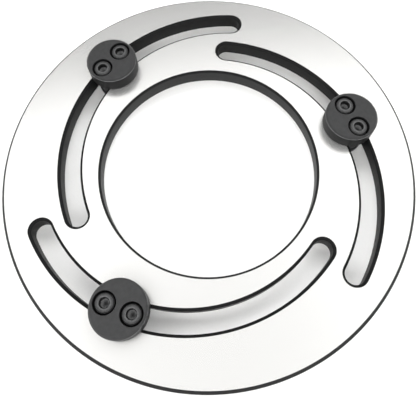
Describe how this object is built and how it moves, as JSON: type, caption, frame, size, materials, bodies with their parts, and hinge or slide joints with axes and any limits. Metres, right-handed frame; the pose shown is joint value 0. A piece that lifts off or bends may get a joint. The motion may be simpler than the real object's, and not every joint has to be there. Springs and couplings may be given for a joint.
{
  "type": "adjustable soft jaw boring ring",
  "caption": "Flat steel ring with curved slots that carry sliding round buttons with pins below, for holding a lathe chuck's soft jaws rigid while they are bored.",
  "frame": {"origin": "on the ring's axis, level with the flat ends of the three locating pins, which the ring stands on", "axes": "+Z is the ring's axis and points to the buttons; the first slot starts in the +X, -Y quarter and runs counter-clockwise towards +Y"},
  "size_m": [0.2, 0.2, 0.0243],
  "materials": {
    "ground_steel": "surface ground faces, black oxide on the rim, bore and slot walls",
    "black_oxide": "satin black oxide on turned steel",
    "screw_black": "black oxide alloy steel"
  },
  "bodies": {
    "ring": {"ring_plate": "ground_steel"},
    "button_unit_1": {"button_1": "black_oxide", "locating_pin_1": "black_oxide", "cap_screw_1a": "screw_black", "cap_screw_1b": "screw_black"},
    "button_unit_2": {"button_2": "black_oxide", "locating_pin_2": "black_oxide", "cap_screw_2a": "screw_black", "cap_screw_2b": "screw_black"},
    "button_unit_3": {"button_3": "black_oxide", "locating_pin_3": "black_oxide", "cap_screw_3a": "screw_black", "cap_screw_3b": "screw_black"}
  },
  "joints": [
    {"name": "slot_1_slide", "type": "hinge", "parent": "ring", "child": "button_unit_1", "pos_m": [0.00029, -0.011, 0.01], "axis": [0, 0, 1], "range_deg": [-49.2, 49.6]},
    {"name": "slot_2_slide", "type": "hinge", "parent": "ring", "child": "button_unit_2", "pos_m": [0.00938, 0.00575, 0.01], "axis": [0, 0, 1], "range_deg": [-44, 54.8]},
    {"name": "slot_3_slide", "type": "hinge", "parent": "ring", "child": "button_unit_3", "pos_m": [-0.00967, 0.00525, 0.01], "axis": [0, 0, 1], "range_deg": [-32.3, 66.5]}
  ]
}
